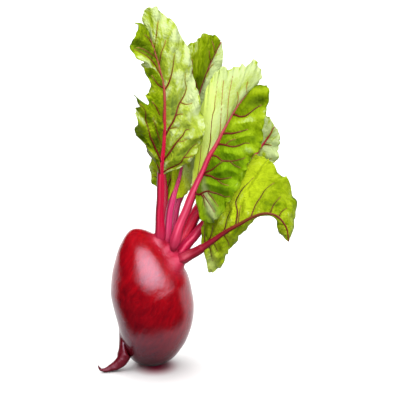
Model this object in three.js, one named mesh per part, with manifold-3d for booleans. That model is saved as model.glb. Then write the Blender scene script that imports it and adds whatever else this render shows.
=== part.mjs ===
// A beetroot as pulled, with its leaves on, resting on the side of its bulb's foot and on its tap root.
// Millimetres, +Z up, origin in the middle of the small flat spot that the bulb rests on.
import * as THREE from "three";
import Module from "manifold-3d";

const wasm = await Module();
wasm.setup();

// ---------------------------------------------------------------- driving dimensions

const clearance = 0.3; // gap between two sub-parts that touch
const sliver = 0.03; // edges shorter than this, which cuts leave, are closed up

const bulb = {
  centre: [-4.5, 0, 61.5],
  axis: [0.5, 0.03, 0.866], // from the centre to the crown, where the stalks grow
  // Distance from the centre to the skin, every 15 degrees round from +X to +Z to -X.
  outline: [34.6, 34, 34.5, 34, 35.5, 42.3, 50.8, 54.3, 46.6, 39.1, 34.9, 32.7, 32, 32, 33.5, 37.6,
    46.5, 59.4, 63.6, 60.8, 53.5, 46.5, 41.2, 37.3],
  halfDepth: 33,
  crownRise: 5, // height of the mound under the stalks
  crownSpread: 28, // degrees from the axis to the mound's edge
  tapSpread: 15, // degrees from the axis to where the skin leaves the bulb for the tap root
  rings: 18,
  sides: 32,
};

const tapRoot = {
  path: [
    [-25.6, -12.5, 11.5],
    [-27, -14.2, 8.6],
    [-29.3, -15.7, 6.2],
    [-32, -17, 4.4],
    [-35.5, -18.7, 3.2],
    [-40, -20.5, 1.9],
    [-44, -21.5, 2.6],
    [-46, -22, 6.3],
  ],
  radii: [5.7, 5, 4.4, 3.8, 2.9, 1.8, 1.1, 0.4],
  rings: 10,
  flareRings: 4, // between the bulb's last ring and the tap root's first
  flareBulb: 0.7, // how long the flare keeps the bulb's direction, as a share of its length
  flareTap: 0.5, // how long it keeps the tap root's
};

const sheet = {
  thickness: 0.7,
  rowsPerVein: 4,
  columns: [0, 0.3, 0.6, 0.8, 1], // share of the way from midrib to margin
  crowding: 1.35, // above 1, the veins leave the midrib closer together near its foot
  lobes: 0.9, // how far the margin swings in and out between two veins
  puckers: 1.5, // how far the blade swells between two veins
};

const rib = {
  tip: 0.75, // radius of the midrib where it sinks into the blade
  bareVeins: 0.75, // distance of that place from the tip, in veins
  sides: 8,
  steps: 14,
  groove: 0.28, // depth of the channel along the face, as a share of the radius
  sideRoot: 0.75, // radius of a side rib where it leaves the midrib
  sideTip: 0.4,
  sideHeight: 1.15, // height over width of a side rib
  sideEnd: 2, // column where a side rib stops
  slotGap: 0.7, // gap beside midrib and side ribs, which keeps the clearance on bends too
};

const socketDepth = 6; // how far each stalk reaches down into the crown

// Each leaf: its midrib from crown to tip, the number of spaces between its side veins, how many of
// the veins stand up as ribs, and its left and right margins from the blade's foot to its tip, as
// seen with the leaf's face in front.
const leaves = {
  tall_left: {
    midrib: [[4.5, -5, 110.5], [4.5, -9, 129], [5.5, -12, 142], [6, -16, 159], [7, -19, 175.5],
      [8.5, -20, 191.5], [9, -20, 211], [9, -19, 229], [6.5, -17, 242.5], [2, -14, 258.5],
      [-2.5, -10, 271], [-6.5, -6, 278.5]],
    veins: 8,
    ribbed: 5,
    bareStalk: 0.31,
    radius: 2.9,
    left: [[3.5, -20, 167], [2, -24, 176], [-4, -29, 186.5], [-8.5, -32, 194], [-12, -34, 200],
      [-13, -36, 212.5], [-10, -34, 217], [-12, -36, 223], [-11, -35, 228], [-5, -28, 221],
      [-3.5, -26, 226], [-2, -25, 231], [-4, -25, 241], [-6, -26, 250.5], [-11.5, -28, 254],
      [-14.5, -24, 264.5], [-13.5, -18, 273.5], [-11.5, -12, 281]],
    right: [[11, -20, 167], [15.5, -22, 169], [22, -25, 171.5], [29, -27, 176], [34, -27, 183],
      [37.5, -25, 190.5], [39.5, -23, 199.5], [39, -19, 211], [35.5, -15, 224.5],
      [32.5, -12, 237], [29.5, -9, 250.5], [26.5, -8, 262], [21, -7, 271.5], [15, -6, 280.5],
      [7.5, -5, 288], [0, -4, 291], [-5, -3, 290], [-7, -4, 284.5]],
    arch: 0.16,
    ruffle: 2,
    phase: 0.1,
  },
  tall_middle: {
    midrib: [[10.5, -1, 107.5], [12, 1, 126.5], [14.5, 3, 138.5], [17, 5, 147.5],
      [19.5, 7, 155.5], [21.5, 9, 165.5], [24, 11, 177.5], [28.5, 14, 197.5], [35.5, 17, 221],
      [41.5, 19, 238.5], [47.5, 20, 251.5], [53.5, 19, 263.5]],
    veins: 6,
    ribbed: 1,
    bareStalk: 0.2,
    radius: 2.3,
    left: [[11, 3, 139], [13.5, 5, 151], [14, 7, 166], [15, 9, 182], [18, 11, 200.5],
      [23, 13, 219], [27, 14, 235], [26, 15, 247.5], [26.5, 15, 258], [32, 15, 263.5],
      [35.5, 15, 266], [39, 16, 269], [43.5, 17, 268.5], [49, 18, 267.5]],
    right: [[18.5, 4, 139.5], [22, 6, 140.5], [26, 8, 142], [28.5, 9, 148.5], [31.5, 11, 158],
      [35.5, 13, 170.5], [39.5, 15, 186.5], [43.5, 17, 204], [47, 18, 219.5], [50, 19, 231],
      [53, 20, 242], [54.5, 20, 252.5]],
    arch: 0.1,
    ruffle: 1.6,
    phase: 0.35,
  },
  large_right: {
    midrib: [[17, -8, 108], [19.5, -8, 116.5], [22.5, -8, 124.5], [26, -9, 133],
      [29, -10, 141.5], [32.5, -11, 150], [35.5, -12, 157.5], [39, -13, 165.5], [43.5, -13, 177],
      [49, -11, 186], [54.5, -8, 196.5], [60, -4, 206], [65.5, -1, 214.5], [72, 3, 222.5],
      [77.5, 6, 228], [82, 8, 230.5]],
    veins: 8,
    ribbed: 5,
    bareStalk: 0.31,
    radius: 3.7,
    left: [[29.5, -10, 153], [31, -8, 163.5], [32.5, -7, 173], [34, -6, 189], [36.5, -5, 208.5],
      [40.5, -4, 224], [45, -3, 236], [50.5, -1, 242.5], [53.5, 0, 245.5], [59, 1, 244],
      [66, 3, 246], [72.5, 5, 246], [77, 7, 249], [82, 8, 246.5], [85, 8, 239]],
    right: [[35.5, -15, 144.5], [36, -18, 136], [37.5, -20, 129.5], [41, -22, 127.5],
      [46.5, -24, 127.5], [51.5, -25, 131], [56, -25, 139.5], [61.5, -24, 147.5],
      [67.5, -22, 157.5], [72, -20, 165.5], [73, -18, 172.5], [78.5, -16, 178.5], [84, -14, 185],
      [85.5, -12, 196.5], [87, -9, 205.5], [88.5, -6, 214.5], [90.5, -3, 223.5], [89.5, 1, 230.5]],
    arch: 0.1,
    ruffle: 2,
    phase: 0.6,
  },
  back_right: {
    midrib: [[22, -1, 97], [26, 0, 102.5], [31, 2, 107.5], [35.5, 5, 112.5], [41.5, 8, 118.5],
      [49.5, 13, 129], [59.5, 18, 140.5], [70, 24, 154], [79, 28, 166.5], [85.5, 31, 175],
      [92, 32, 183.5], [97.5, 31, 193.5]],
    veins: 5,
    ribbed: 2,
    bareStalk: 0.62,
    radius: 3.3,
    left: [[64, 24, 159], [66.5, 24, 173.5], [74, 26, 188.5], [83, 28, 199], [90, 30, 203]],
    right: [[77, 26, 151], [83, 27, 159.5], [92, 28, 161.5], [98, 29, 164], [100.5, 30, 173.5],
      [102, 31, 182], [100, 31, 189.5]],
    arch: 0.1,
    ruffle: 1.6,
    phase: 0.2,
  },
  low_right: {
    midrib: [[23, -8, 93], [28.5, -8, 96], [34, -9, 99], [40.5, -11, 104], [47, -14, 109.5],
      [53, -16, 114.5], [60, -19, 120], [68, -21, 125], [75.5, -23, 130], [82, -24, 133],
      [87, -25, 134.5], [92, -25, 134], [96.5, -26, 132.5], [101, -26, 128], [104.5, -26, 121.5],
      [106, -26, 111.5]],
    veins: 8,
    ribbed: 5,
    bareStalk: 0.16,
    radius: 4.2,
    left: [[39.5, -8, 109.5], [39, -6, 119], [43, -4, 130], [49.5, -1, 140], [59, 1, 150.5],
      [68.5, 3, 161.5], [74.5, 4, 170], [81, 4, 174.5], [86, 3, 172.5], [92, 2, 170.5],
      [97, 1, 165], [102, 0, 158], [107, -2, 155], [109.5, -4, 145.5], [112, -9, 134.5],
      [111.5, -14, 125.5], [108, -20, 117]],
    right: [[41.5, -10, 98], [43, -8, 89.5], [45, -7, 81.5], [50, -8, 84.5], [54, -9, 88.5],
      [57.5, -10, 95.5], [60.5, -12, 103.5], [66, -14, 109], [68, -16, 115.5], [73, -17, 119],
      [77.5, -20, 127], [81, -22, 131], [86.5, -24, 132.5], [92, -25, 132.5], [96.5, -24, 129.5],
      [97.5, -22, 121], [101.5, -22, 115.5]],
    arch: 0.1,
    ruffle: 1.6,
    phase: 0.8,
  },
  centre: {
    midrib: [[13.5, 5.5, 105], [15.5, 9, 118.5], [18, 13, 131.5], [21, 16, 138.5],
      [24.5, 19, 147.5], [28.5, 22, 160.5], [33, 26, 176], [39, 29, 194.5], [45.5, 31, 212.5],
      [52.5, 32, 229.5]],
    veins: 4,
    ribbed: 1,
    bareStalk: 0.3,
    radius: 2.5,
    left: [[18, 18, 143.5], [17, 21, 157.5], [19.5, 25, 176.5], [26, 28, 197.5], [34, 30, 217.5]],
    right: [[28.5, 17, 146.5], [38, 19, 159.5], [45.5, 23, 178.5], [51, 27, 199], [55, 30, 216.5]],
    arch: 0.1,
    ruffle: 1.6,
    phase: 0.5,
  },
  young: {
    midrib: [[20, 5, 99], [23.5, 6, 106.5], [27.5, 7, 114.5], [32.5, 8, 124.5], [37.5, 9, 132.5],
      [46, 11, 149.5], [54, 12, 167.5], [60.5, 10, 184.5]],
    veins: 4,
    ribbed: 1,
    bareStalk: 0.5,
    radius: 3,
    left: [[37.5, 8, 142], [41.5, 9, 155], [43.5, 9, 170], [50, 9, 182]],
    right: [[46, 9, 141], [57.5, 8, 147], [64.5, 7, 162], [67, 8, 175.5]],
    arch: 0.1,
    ruffle: 1.4,
    phase: 0.7,
  },
  back_left: {
    midrib: [[8.5, 4.5, 107], [9, 9, 120], [9, 12, 132], [9, 14, 144], [8, 17, 155.5],
      [8, 19, 172], [8.5, 20, 188], [11, 19, 207]],
    veins: 3,
    ribbed: 1,
    bareStalk: 0.28,
    radius: 2,
    left: [[5, 12, 138.5], [1.5, 14, 147], [-2.5, 15, 149.5], [-4, 16, 159], [-2.5, 17, 169.5],
      [-0.5, 18, 184.5], [2.5, 19, 199]],
    right: [[12.5, 11, 137], [14.5, 13, 144], [18, 15, 153.5], [20.5, 16, 166.5],
      [20.5, 17, 180.5], [18, 18, 195]],
    arch: 0.1,
    ruffle: 1.2,
    phase: 0.3,
  },
};

// ---------------------------------------------------------------- materials

const skin = new THREE.MeshStandardMaterial({ color: 0x7d0a22, roughness: 0.3, metalness: 0 });
const stalkRed = new THREE.MeshStandardMaterial({ color: 0xb01448, roughness: 0.4, metalness: 0 });
const leafGreen = new THREE.MeshStandardMaterial({ color: 0x8fb82e, roughness: 0.5, metalness: 0 });

// ---------------------------------------------------------------- vectors and meshes

const vector = (p) => new THREE.Vector3(...p);
const mix = THREE.MathUtils.lerp;
const curve = (points) =>
  new THREE.CatmullRomCurve3(points.map(vector), false, "catmullrom", 0.5);

// The part of a vector that is square to a unit direction, as a unit vector.
function square(v, direction) {
  return v.clone().addScaledVector(direction, -v.dot(direction)).normalize();
}

// Collects numbered vertices and faces, and closes them into a manifold solid.
class Surface {
  points = [];
  faces = [];

  vertex(p) {
    this.points.push(p);
    return this.points.length - 1;
  }

  // A quad, or a triangle where two of its corners are the same vertex.
  quad(a, b, c, d) {
    for (const face of [[a, b, c], [a, c, d]]) {
      if (new Set(face).size === 3) this.faces.push(face);
    }
  }

  // Lofts closed rings of vertex numbers, and closes both ends onto a middle vertex.
  loft(rings) {
    for (let i = 1; i < rings.length; i++) {
      const [near, far] = [rings[i - 1], rings[i]];
      near.forEach((v, j) => {
        const k = (j + 1) % near.length;
        this.quad(v, near[k], far[k], far[j]);
      });
    }
    this.cap(rings[0], false);
    this.cap(rings.at(-1), true);
  }

  cap(ring, outward) {
    const middle = new THREE.Vector3();
    for (const v of ring) middle.addScaledVector(this.points[v], 1 / ring.length);
    const hub = this.vertex(middle);
    ring.forEach((v, j) => {
      const next = ring[(j + 1) % ring.length];
      this.faces.push(outward ? [v, next, hub] : [next, v, hub]);
    });
  }

  // Mean of the normals of the faces round each vertex.
  normals() {
    const sums = this.points.map(() => new THREE.Vector3());
    for (const [a, b, c] of this.faces) {
      const n = this.points[b].clone().sub(this.points[a]);
      n.cross(this.points[c].clone().sub(this.points[a]));
      for (const v of [a, b, c]) sums[v].add(n);
    }
    return sums.map((n) => n.normalize());
  }

  // The open sheet given a thickness: two faces alike, and a wall along every free edge.
  thickened(thickness) {
    const solid = new Surface();
    const normals = this.normals();
    for (const side of [0.5, -0.5]) {
      this.points.forEach((p, i) => {
        solid.vertex(p.clone().addScaledVector(normals[i], side * thickness));
      });
    }
    const back = this.points.length;
    const edges = new Map();
    for (const [a, b, c] of this.faces) {
      solid.faces.push([a, b, c], [back + a, back + c, back + b]);
      for (const [from, to] of [[a, b], [b, c], [c, a]]) {
        if (edges.has(`${to},${from}`)) edges.delete(`${to},${from}`);
        else edges.set(`${from},${to}`, [from, to]);
      }
    }
    for (const [from, to] of edges.values()) solid.quad(to, from, back + from, back + to);
    return solid;
  }

  // The solid that the faces close, turned round if they face inwards.
  manifold() {
    const solid = (faces) =>
      new wasm.Manifold(
        new wasm.Mesh({
          numProp: 3,
          vertProperties: new Float32Array(this.points.flatMap((p) => p.toArray())),
          triVerts: new Uint32Array(faces.flat()),
        }),
      );
    const made = solid(this.faces);
    return made.volume() > 0 ? made : solid(this.faces.map(([a, b, c]) => [a, c, b]));
  }
}

// A named mesh from a manifold solid.
function part(name, solid, material) {
  const mesh = solid.getMesh();
  const geometry = new THREE.BufferGeometry();
  geometry.setAttribute("position", new THREE.BufferAttribute(mesh.vertProperties, 3));
  geometry.setIndex(new THREE.BufferAttribute(mesh.triVerts, 1));
  geometry.computeVertexNormals();
  const made = new THREE.Mesh(geometry, material);
  made.name = name;
  return made;
}

// ---------------------------------------------------------------- root

// Distance from the bulb's centre to its skin in the XZ plane, at an angle in degrees from +X.
function outlineAt(degrees) {
  const count = bulb.outline.length;
  const place = THREE.MathUtils.euclideanModulo((degrees * count) / 360, count);
  const first = Math.floor(place);
  const [p0, p1, p2, p3] = [-1, 0, 1, 2].map((i) => bulb.outline.at((first + i) % count));
  const t = place - first;
  const bend = 2 * p0 - 5 * p1 + 4 * p2 - p3 + t * (3 * p1 - p0 - 3 * p2 + p3);
  return p1 + 0.5 * t * (p2 - p0 + t * bend);
}

// The bulb's skin along a unit direction from its centre.
function bulbSkin(direction) {
  const flat = Math.hypot(direction.x, direction.z);
  const outline = outlineAt(THREE.MathUtils.radToDeg(Math.atan2(direction.z, direction.x)));
  const reach = 1 / Math.hypot(flat / outline, direction.y / bulb.halfDepth);
  const away = THREE.MathUtils.radToDeg(direction.angleTo(vector(bulb.axis)));
  const rise = bulb.crownRise * (1 - THREE.MathUtils.smoothstep(away, 0, bulb.crownSpread));
  return vector(bulb.centre).addScaledVector(direction, reach + rise);
}

// Bulb and tap root in one skin: rings round the bulb's axis, a flare, then rings along the tap root.
function rootSurface() {
  const surface = new Surface();
  const axis = vector(bulb.axis).normalize();
  let across = square(new THREE.Vector3(1, 0, 0), axis);
  const rings = [];
  for (let i = 1; i <= bulb.rings; i++) {
    const polar = THREE.MathUtils.degToRad(((180 - bulb.tapSpread) * i) / bulb.rings);
    const deep = axis.clone().cross(across);
    rings.push(ringOf(bulb.sides, (cos, sin) => {
      const direction = axis.clone().multiplyScalar(Math.cos(polar));
      direction.addScaledVector(across, Math.sin(polar) * cos);
      return bulbSkin(direction.addScaledVector(deep, Math.sin(polar) * sin));
    }));
  }
  const path = curve(tapRoot.path);
  const radii = curve(tapRoot.radii.map((r) => [r, 0, 0]));
  const tap = [];
  for (let i = 0; i <= tapRoot.rings; i++) {
    const t = i / tapRoot.rings;
    const along = path.getTangent(t).negate();
    across = square(across, along);
    const deep = along.clone().cross(across);
    const radius = radii.getPoint(t).x;
    tap.push(ringOf(bulb.sides, (cos, sin) => {
      const p = path.getPoint(t).addScaledVector(across, radius * cos);
      return p.addScaledVector(deep, radius * sin);
    }));
  }
  const skin = [...rings, ...flare(rings.at(-2), rings.at(-1), tap[0], path.getTangent(0)), ...tap];
  surface.loft(skin.reverse().map((ring) => ring.map((p) => surface.vertex(p))));
  return surface;
}

// Rings of a smooth flare that carries on from two rings of the bulb into a ring of the tap root.
function flare(before, from, to, heading) {
  return Array.from({ length: tapRoot.flareRings }, (_, i) => {
    const t = (i + 1) / (tapRoot.flareRings + 1);
    return from.map((start, j) => {
      const reach = start.distanceTo(to[j]);
      const leaving = start.clone().sub(before[j]).normalize().multiplyScalar(reach * tapRoot.flareBulb);
      const arriving = heading.clone().multiplyScalar(reach * tapRoot.flareTap);
      const p = start.clone().multiplyScalar((1 + 2 * t) * (1 - t) ** 2);
      p.addScaledVector(leaving, t * (1 - t) ** 2).addScaledVector(to[j], t * t * (3 - 2 * t));
      return p.addScaledVector(arriving, -t * t * (1 - t));
    });
  });
}

// Calls make with the cosine and sine of each corner of a polygon, and lists what it returns.
function ringOf(sides, make) {
  return Array.from({ length: sides }, (_, j) => {
    const angle = (2 * Math.PI * j) / sides;
    return make(Math.cos(angle), Math.sin(angle));
  });
}

// ---------------------------------------------------------------- leaves

class Leaf {
  constructor(shape) {
    Object.assign(this, shape);
    this.path = curve(shape.midrib);
    this.tip = this.path.getPointAt(1);
    this.ribEnd = this.share(this.veins - rib.bareVeins);
    this.margins = [shape.left, shape.right].map((points) => curve([...points, this.tip.toArray()]));
  }

  // Share of the midrib's length at a vein number, which may lie between two veins.
  share(vein) {
    return mix(this.bareStalk, 1, (vein / this.veins) ** sheet.crowding);
  }

  ribRadius(share) {
    if (share < this.bareStalk) return this.radius * mix(0.95, 0.88, share / this.bareStalk);
    const t = (share - this.bareStalk) / (this.ribEnd - this.bareStalk);
    return mix(this.radius * 0.88, rib.tip, Math.min(t, 1) ** 0.7);
  }

  // Frame of the midrib: along it, to the leaf's right, and out of its face, which looks to -Y.
  frame(share) {
    const along = this.path.getTangentAt(share);
    const face = square(new THREE.Vector3(0, -1, 0), along);
    return { along, right: along.clone().cross(face), face };
  }

  // A point of the blade's middle sheet: side 0 is left and 1 is right, u runs from midrib to margin.
  bladePoint(side, vein, u) {
    const share = this.share(vein);
    const { along } = this.frame(share);
    const centre = this.path.getPointAt(share);
    const margin = this.margins[side].getPoint(vein / this.veins);
    const span = margin.clone().sub(centre);
    const length = span.length();
    if (length < 1e-6) return centre;
    const outward = square(span, along);
    const face = along.clone().cross(outward).multiplyScalar(side === 0 ? 1 : -1);
    const lobe = Math.sin(Math.PI * (vein % 1)) - 0.5;
    const small = Math.min(length / 20, 1);
    margin.addScaledVector(span.normalize(), sheet.lobes * lobe * small);
    const control = centre.clone().lerp(margin, 0.5);
    control.addScaledVector(face, this.arch * length);
    control.addScaledVector(along, -0.1 * length);
    const start = centre.addScaledVector(outward, this.slot(vein));
    const p = start.multiplyScalar((1 - u) ** 2);
    p.addScaledVector(control, 2 * u * (1 - u)).addScaledVector(margin, u * u);
    const pucker = sheet.puckers * Math.sin(Math.PI * (vein % 1)) ** 2 * 4 * u * (1 - u);
    const wave = this.ruffle * u ** 3 * Math.sin(2 * Math.PI * (vein + this.phase + 0.5 * side));
    return p.addScaledVector(face, small * (pucker + wave));
  }

  // Half the width of the slot that the midrib lies in: none past its end.
  slot(vein) {
    return vein >= this.veins - 0.5 ? 0 : this.ribRadius(this.share(vein)) + rib.slotGap;
  }

  // Half the width of a side rib at a column.
  sideRib(column) {
    return mix(rib.sideRoot, rib.sideTip, column / rib.sideEnd);
  }

  hasSideRib(vein) {
    return Number.isInteger(vein) && vein > 0 && vein <= this.ribbed;
  }

  // Unit direction in the sheet from one vein to the next.
  acrossVeins(side, vein, u) {
    const step = 0.02;
    const ahead = this.bladePoint(side, vein + step, u);
    return ahead.sub(this.bladePoint(side, vein - step, u)).normalize();
  }

  // Both halves in one open sheet, with a slot for the midrib and one for each side rib.
  bladeSurface() {
    const surface = new Surface();
    const tip = surface.vertex(this.tip);
    const rows = this.veins * sheet.rowsPerVein;
    const spine = new Map();
    for (const side of [0, 1]) {
      let previous = null;
      for (let i = 0; i <= rows; i++) {
        const vein = i / sheet.rowsPerVein;
        const [before, after] = this.row(surface, side, vein, spine, tip);
        for (let j = 1; previous && j < before.length; j++) {
          const corners = [previous[j - 1], previous[j], before[j], before[j - 1]];
          if (side === 0) corners.reverse();
          surface.quad(...corners);
        }
        previous = after;
      }
    }
    return surface;
  }

  // Vertices of one row, listed twice: as the last row before a side rib, and as the first after it.
  row(surface, side, vein, spine, tip) {
    if (vein === this.veins) return [sheet.columns.map(() => tip), null];
    const before = [];
    const after = [];
    sheet.columns.forEach((u, j) => {
      const p = this.bladePoint(side, vein, u);
      if (this.hasSideRib(vein) && j <= rib.sideEnd) {
        const away = this.acrossVeins(side, vein, u);
        const gap = this.sideRib(j) + rib.slotGap;
        before.push(surface.vertex(p.clone().addScaledVector(away, -gap)));
        after.push(surface.vertex(p.addScaledVector(away, gap)));
        return;
      }
      const onSpine = j === 0 && this.slot(vein) === 0;
      const shared = onSpine && spine.has(vein) ? spine.get(vein) : surface.vertex(p);
      if (onSpine) spine.set(vein, shared);
      before.push(shared);
      after.push(shared);
    });
    return [before, after];
  }

  // Stalk and midrib as one tube: grooved along the face, or plain and larger by the extra radius.
  stalk(extra) {
    const surface = new Surface();
    const start = this.path.getPointAt(0);
    const reach = socketDepth + extra;
    start.addScaledVector(this.path.getTangentAt(0), -reach);
    const rings = [this.stalkRing(surface, 0, start, extra)];
    for (let i = 0; i <= rib.steps; i++) {
      const share = (this.ribEnd * i) / rib.steps;
      rings.push(this.stalkRing(surface, share, this.path.getPointAt(share), extra));
    }
    surface.loft(rings);
    return surface.manifold();
  }

  stalkRing(surface, share, centre, extra) {
    const { right, face } = this.frame(share);
    const radius = this.ribRadius(share);
    return ringOf(rib.sides, (cos, sin) => {
      const groove = extra ? 0 : radius * rib.groove * Math.max(sin, 0) ** 6;
      const p = centre.clone().addScaledVector(right, (radius + extra) * cos);
      return surface.vertex(p.addScaledVector(face, (radius + extra) * sin - groove));
    });
  }

  // One side rib: a slim tube along its vein, rooted in the midrib.
  sideRibSolid(side, vein, extra) {
    const surface = new Surface();
    const root = this.path.getPointAt(this.share(vein));
    const rings = [];
    for (let j = -1; j <= rib.sideEnd; j++) {
      const column = Math.max(j, 0);
      const u = sheet.columns[column];
      const p = this.bladePoint(side, vein, u);
      const along = p.clone().sub(j < 1 ? root : this.bladePoint(side, vein, u - 0.1)).normalize();
      const across = square(this.acrossVeins(side, vein, u), along);
      const face = along.clone().cross(across);
      const width = this.sideRib(column) + extra;
      if (j === rib.sideEnd) p.addScaledVector(along, extra);
      rings.push(ringOf(4, (cos, sin) => {
        const corner = (j < 0 ? root : p).clone().addScaledVector(across, width * cos);
        return surface.vertex(corner.addScaledVector(face, width * rib.sideHeight * sin));
      }));
    }
    surface.loft(rings);
    return surface.manifold();
  }

  // Stalk, midrib and side ribs in one body, larger all round by the extra radius.
  ribs(extra = 0) {
    const solids = [this.stalk(extra)];
    for (let vein = 1; this.hasSideRib(vein); vein++) {
      for (const side of [0, 1]) solids.push(this.sideRibSolid(side, vein, extra));
    }
    return wasm.Manifold.union(solids);
  }
}

// The largest body of a solid, without the loose scraps that a cut leaves.
function largest(solid) {
  const bodies = solid.decompose();
  return bodies.reduce((a, b) => (b.volume() > a.volume() ? b : a));
}

// ---------------------------------------------------------------- assembly

const beetroot = new THREE.Group();
let root = rootSurface().manifold();
for (const [name, shape] of Object.entries(leaves)) {
  const leaf = new Leaf(shape);
  const hollow = leaf.ribs(clearance);
  const blade = leaf.bladeSurface().thickened(sheet.thickness).manifold().subtract(hollow);
  root = root.subtract(hollow);
  beetroot.add(part(`stalk_${name}`, leaf.ribs().simplify(sliver), stalkRed));
  beetroot.add(part(`blade_${name}`, largest(blade).simplify(sliver), leafGreen));
}
root = root.trimByPlane([0, 0, 1], 0);
beetroot.add(part("root", root, skin));

export default beetroot;
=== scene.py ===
import math
import bpy
import numpy as np
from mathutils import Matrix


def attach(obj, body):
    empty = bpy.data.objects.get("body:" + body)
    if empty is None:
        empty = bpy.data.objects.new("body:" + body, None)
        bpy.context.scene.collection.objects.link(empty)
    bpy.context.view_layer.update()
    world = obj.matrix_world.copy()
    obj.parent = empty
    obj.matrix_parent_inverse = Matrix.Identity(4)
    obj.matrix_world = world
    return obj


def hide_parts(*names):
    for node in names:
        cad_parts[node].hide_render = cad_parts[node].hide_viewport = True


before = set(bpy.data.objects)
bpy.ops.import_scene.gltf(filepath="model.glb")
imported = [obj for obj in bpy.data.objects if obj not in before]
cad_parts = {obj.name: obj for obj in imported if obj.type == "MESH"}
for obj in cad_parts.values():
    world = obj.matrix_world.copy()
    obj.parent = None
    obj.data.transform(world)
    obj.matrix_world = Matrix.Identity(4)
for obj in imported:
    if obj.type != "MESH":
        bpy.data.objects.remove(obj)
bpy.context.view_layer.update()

# A beetroot with its leaves on. Lengths in the dictionaries are millimetres, meshes are in metres.
mm = 0.001
print("frame loaded:", len(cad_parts), "nodes")


def unit(v):
    return v / np.maximum(np.linalg.norm(v, axis=-1, keepdims=True), 1e-12)


def square(v, direction):  # the part of v at right angles to a unit direction, as a unit vector
    return unit(v - np.sum(v * direction, axis=-1, keepdims=True) * direction)


def smoothStep(x, low, high):
    t = np.clip((x - low) / (high - low), 0, 1)
    return t * t * (3 - 2 * t)


def bell(x):  # 1 at 0, falling to nothing past 2 on either side
    return np.exp(-x ** 2)


def catmullRom(a, b, c, d, t):  # the stretch from b to c, t from 0 to 1
    bend = 2 * a - 5 * b + 4 * c - d + t * (3 * b - a - 3 * c + d)
    return b + 0.5 * t * (c - a + t * bend)


def spline(points, t):  # a smooth curve through the points, t from 0 to 1
    points = np.asarray(points, float)
    ends = np.vstack([2 * points[:1] - points[1:2], points, 2 * points[-1:] - points[-2:-1]])
    place = np.clip(np.asarray(t, float), 0, 1) * (len(points) - 1)
    first = np.minimum(place.astype(int), len(points) - 2)
    return catmullRom(*(ends[first + k] for k in range(4)), (place - first)[..., None])


def scatter(x, y, seed):  # a repeatable random number from 0 to 1 for each whole x, y
    value = np.sin(x * 127.1 + y * 311.7 + seed * 74.7) * 43758.5453
    return value - np.floor(value)


def noise(x, y, seed):  # soft noise from -1 to 1, one wave per unit of x and y
    x0, y0 = np.floor(x), np.floor(y)
    fx, fy = smoothStep(x - x0, 0, 1), smoothStep(y - y0, 0, 1)
    low = scatter(x0, y0, seed) * (1 - fx) + scatter(x0 + 1, y0, seed) * fx
    high = scatter(x0, y0 + 1, seed) * (1 - fx) + scatter(x0 + 1, y0 + 1, seed) * fx
    return 2 * (low * (1 - fy) + high * fy) - 1


def domes(x, y, seed):  # scattered round domes, 1 at each top and lowest in the creases between them
    nearest = np.full(np.shape(x), 9.0)
    for dx in (-1, 0, 1):
        for dy in (-1, 0, 1):
            cx, cy = np.floor(x) + dx, np.floor(y) + dy
            size = 0.75 + 0.5 * scatter(cx, cy, seed + 8)
            away = np.hypot(cx + scatter(cx, cy, seed) - x, cy + scatter(cx, cy, seed + 5) - y)
            nearest = np.minimum(nearest, away * size)
    return 1 - np.minimum(nearest, 1) ** 2


def gridFaces(rows, columns, start, wrap):  # quads of a grid of vertices, row by row
    r = np.arange(rows - 1)[:, None] * columns
    c = np.arange(columns if wrap else columns - 1)[None, :]
    after = (c + 1) % columns
    quads = np.stack([r + c, r + after, r + columns + after, r + columns + c], axis=-1)
    return (quads.reshape(-1, 4) + start).tolist()


def makePiece(name, points, faces, materials, node, attributes, plain=0):
    mesh = bpy.data.meshes.new(name)
    mesh.from_pydata((np.asarray(points) * mm).tolist(), [], faces)
    for key, values in attributes.items():
        layer = mesh.attributes.new(key, "FLOAT_VECTOR", "POINT")
        layer.data.foreach_set("vector", np.asarray(values, np.float32).ravel())
    for material in materials:
        mesh.materials.append(material)
    if len(materials) > 1:  # faces after the plain ones take the second material
        mesh.polygons.foreach_set("material_index", [0] * plain + [1] * (len(faces) - plain))
    mesh.shade_smooth()
    piece = bpy.data.objects.new(name, mesh)
    bpy.context.scene.collection.objects.link(piece)
    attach(piece, "root")
    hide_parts(node)
    return piece


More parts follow.
